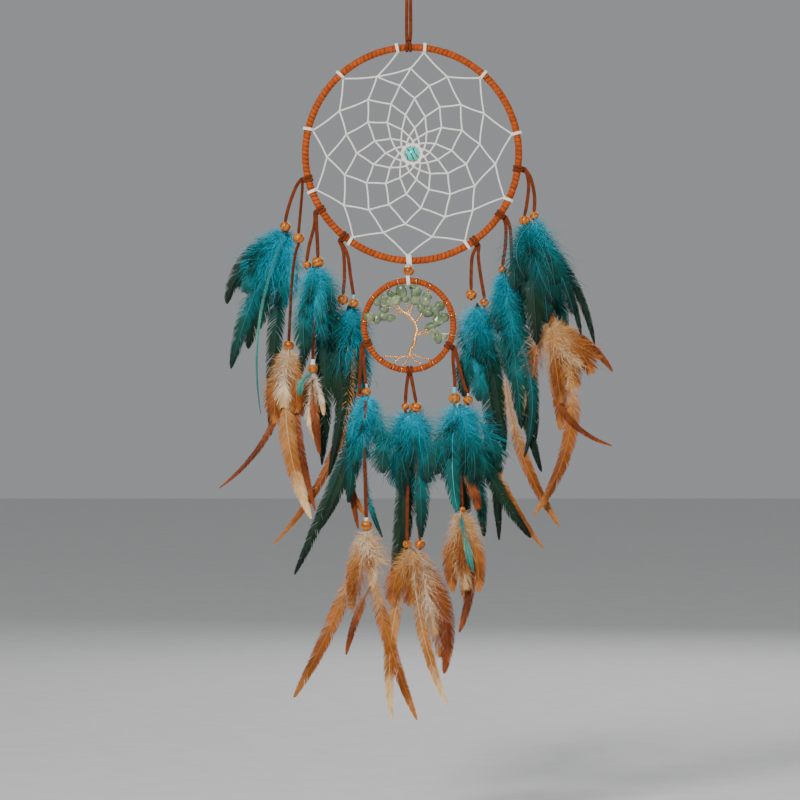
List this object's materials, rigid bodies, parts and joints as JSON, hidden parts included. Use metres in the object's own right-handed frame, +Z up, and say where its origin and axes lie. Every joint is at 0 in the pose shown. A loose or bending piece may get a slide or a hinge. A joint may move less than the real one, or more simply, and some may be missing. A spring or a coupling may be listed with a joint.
{
  "type": "dream catcher",
  "caption": "Hanging dream catcher: lace-wound hoop with a thread web, a small tree-of-life hoop below it, and feathered lace tassels with beads.",
  "frame": {"origin": "inside top of the hanging loop, where a nail or hook holds it", "axes": "+Z up, +Y away from the viewer towards the wall, +X to the viewer's right"},
  "size_m": [0.29, 0.0228, 0.5734],
  "materials": {
    "suede": "napped rust-brown suede lace",
    "thread": "waxed ivory thread",
    "ring_steel": "drawn wire",
    "copper": "polished twisted copper wire",
    "wood_bead": "lacquered golden-brown wood",
    "turquoise": "polished turquoise with dark veins",
    "sage_stone": "tumbled sage-green quartz chips",
    "teal_feather": "dyed feather, fluffy at the root",
    "tan_feather": "natural tan feather"
  },
  "bodies": {
    "hanging_loop": {"hanging_loop": "suede"},
    "hanging_lace": {"hanging_lace": "suede"},
    "big_hoop": {"big_hoop_core": "ring_steel", "big_hoop_wrap": "suede", "web_thread": "thread"},
    "center_bead": {"center_bead": "turquoise"},
    "link": {"link_cord": "thread", "link_bead": "wood_bead"},
    "small_hoop": {"small_hoop_core": "ring_steel", "small_hoop_wrap": "suede", "tree_wire": "copper", "stone_chips_left": "sage_stone", "stone_chips_top": "sage_stone", "stone_chips_right": "sage_stone"},
    "left_outer_tassel": {"left_outer_lace": "suede", "left_outer_bead_1": "wood_bead", "left_outer_bead_2": "wood_bead", "left_outer_bead_3": "wood_bead", "left_outer_feathers_upper": "teal_feather", "left_outer_feathers_lower": "tan_feather"},
    "left_middle_tassel": {"left_middle_lace": "suede", "left_middle_bead_1": "wood_bead", "left_middle_bead_2": "wood_bead", "left_middle_bead_3": "wood_bead", "left_middle_feathers": "teal_feather"},
    "left_inner_tassel": {"left_inner_lace": "suede", "left_inner_bead_1": "wood_bead", "left_inner_bead_2": "wood_bead", "left_inner_feathers": "teal_feather"},
    "right_outer_tassel": {"right_outer_lace": "suede", "right_outer_bead_1": "wood_bead", "right_outer_bead_2": "wood_bead", "right_outer_bead_3": "wood_bead", "right_outer_feathers_upper": "teal_feather", "right_outer_feathers_lower": "tan_feather"},
    "right_middle_tassel": {"right_middle_lace": "suede", "right_middle_bead_1": "wood_bead", "right_middle_feathers": "teal_feather"},
    "right_inner_tassel": {"right_inner_lace": "suede", "right_inner_bead_1": "wood_bead", "right_inner_bead_2": "wood_bead", "right_inner_feathers": "teal_feather"},
    "lower_left_tassel": {"lower_left_lace": "suede", "lower_left_bead_1": "wood_bead", "lower_left_bead_2": "wood_bead", "lower_left_feathers_upper": "teal_feather", "lower_left_feathers_lower": "tan_feather"},
    "lower_middle_tassel": {"lower_middle_lace": "suede", "lower_middle_bead_1": "wood_bead", "lower_middle_bead_2": "wood_bead", "lower_middle_bead_3": "wood_bead", "lower_middle_bead_4": "wood_bead", "lower_middle_feathers_upper": "teal_feather", "lower_middle_feathers_lower": "tan_feather"},
    "lower_right_tassel": {"lower_right_lace": "suede", "lower_right_bead_1": "wood_bead", "lower_right_bead_2": "wood_bead", "lower_right_bead_3": "wood_bead", "lower_right_feathers_upper": "teal_feather", "lower_right_feathers_lower": "tan_feather"}
  },
  "joints": [
    {"name": "hanging_lace_turn", "type": "hinge", "parent": "hanging_loop", "child": "hanging_lace", "pos_m": [0, 0, -0.022], "axis": [0, 0, 1], "range_deg": [-180, 180]},
    {"name": "big_hoop_swing", "type": "hinge", "parent": "hanging_lace", "child": "big_hoop", "pos_m": [0, 0, -0.0675], "axis": [1, 0, 0], "range_deg": [-25, 25]},
    {"name": "center_bead_spin", "type": "hinge", "parent": "big_hoop", "child": "center_bead", "pos_m": [0.0025, 0, -0.1475], "axis": [0, 0, 1], "continuous": true},
    {"name": "link_swing", "type": "hinge", "parent": "big_hoop", "child": "link", "pos_m": [0, 0, -0.22746], "axis": [1, 0, 0], "range_deg": [-25, 25]},
    {"name": "small_hoop_swing", "type": "hinge", "parent": "link", "child": "small_hoop", "pos_m": [0, 0, -0.2425], "axis": [1, 0, 0], "range_deg": [-30, 30]},
    {"name": "left_outer_swing", "type": "hinge", "parent": "big_hoop", "child": "left_outer_tassel", "pos_m": [-0.08164, 0, -0.16755], "axis": [1, 0, 0], "range_deg": [-35, 35], "deforming": ["left_outer_lace", "left_outer_feathers_upper", "left_outer_feathers_lower"]},
    {"name": "left_middle_swing", "type": "hinge", "parent": "big_hoop", "child": "left_middle_tassel", "pos_m": [-0.07133, 0, -0.19257], "axis": [1, 0, 0], "range_deg": [-35, 35], "deforming": ["left_middle_lace", "left_middle_feathers"]},
    {"name": "left_inner_swing", "type": "hinge", "parent": "big_hoop", "child": "left_inner_tassel", "pos_m": [-0.05252, 0, -0.21425], "axis": [1, 0, 0], "range_deg": [-35, 35], "deforming": ["left_inner_lace", "left_inner_feathers"]},
    {"name": "right_outer_swing", "type": "hinge", "parent": "big_hoop", "child": "right_outer_tassel", "pos_m": [0.08818, 0, -0.15939], "axis": [1, 0, 0], "range_deg": [-35, 35], "deforming": ["right_outer_lace", "right_outer_feathers_upper", "right_outer_feathers_lower"]},
    {"name": "right_middle_swing", "type": "hinge", "parent": "big_hoop", "child": "right_middle_tassel", "pos_m": [0.07379, 0, -0.19649], "axis": [1, 0, 0], "range_deg": [-35, 35], "deforming": ["right_middle_lace", "right_middle_feathers"]},
    {"name": "right_inner_swing", "type": "hinge", "parent": "big_hoop", "child": "right_inner_tassel", "pos_m": [0.05298, 0, -0.21774], "axis": [1, 0, 0], "range_deg": [-35, 35], "deforming": ["right_inner_lace", "right_inner_feathers"]},
    {"name": "lower_left_swing", "type": "hinge", "parent": "small_hoop", "child": "lower_left_tassel", "pos_m": [-0.03671, 0, -0.29189], "axis": [1, 0, 0], "range_deg": [-35, 35], "deforming": ["lower_left_lace", "lower_left_feathers_upper", "lower_left_feathers_lower"]},
    {"name": "lower_middle_swing", "type": "hinge", "parent": "small_hoop", "child": "lower_middle_tassel", "pos_m": [0.0007, 0, -0.31599], "axis": [1, 0, 0], "range_deg": [-35, 35], "deforming": ["lower_middle_lace", "lower_middle_feathers_upper", "lower_middle_feathers_lower"]},
    {"name": "lower_right_swing", "type": "hinge", "parent": "small_hoop", "child": "lower_right_tassel", "pos_m": [0.0357, 0, -0.29403], "axis": [1, 0, 0], "range_deg": [-35, 35], "deforming": ["lower_right_lace", "lower_right_feathers_upper", "lower_right_feathers_lower"]}
  ]
}
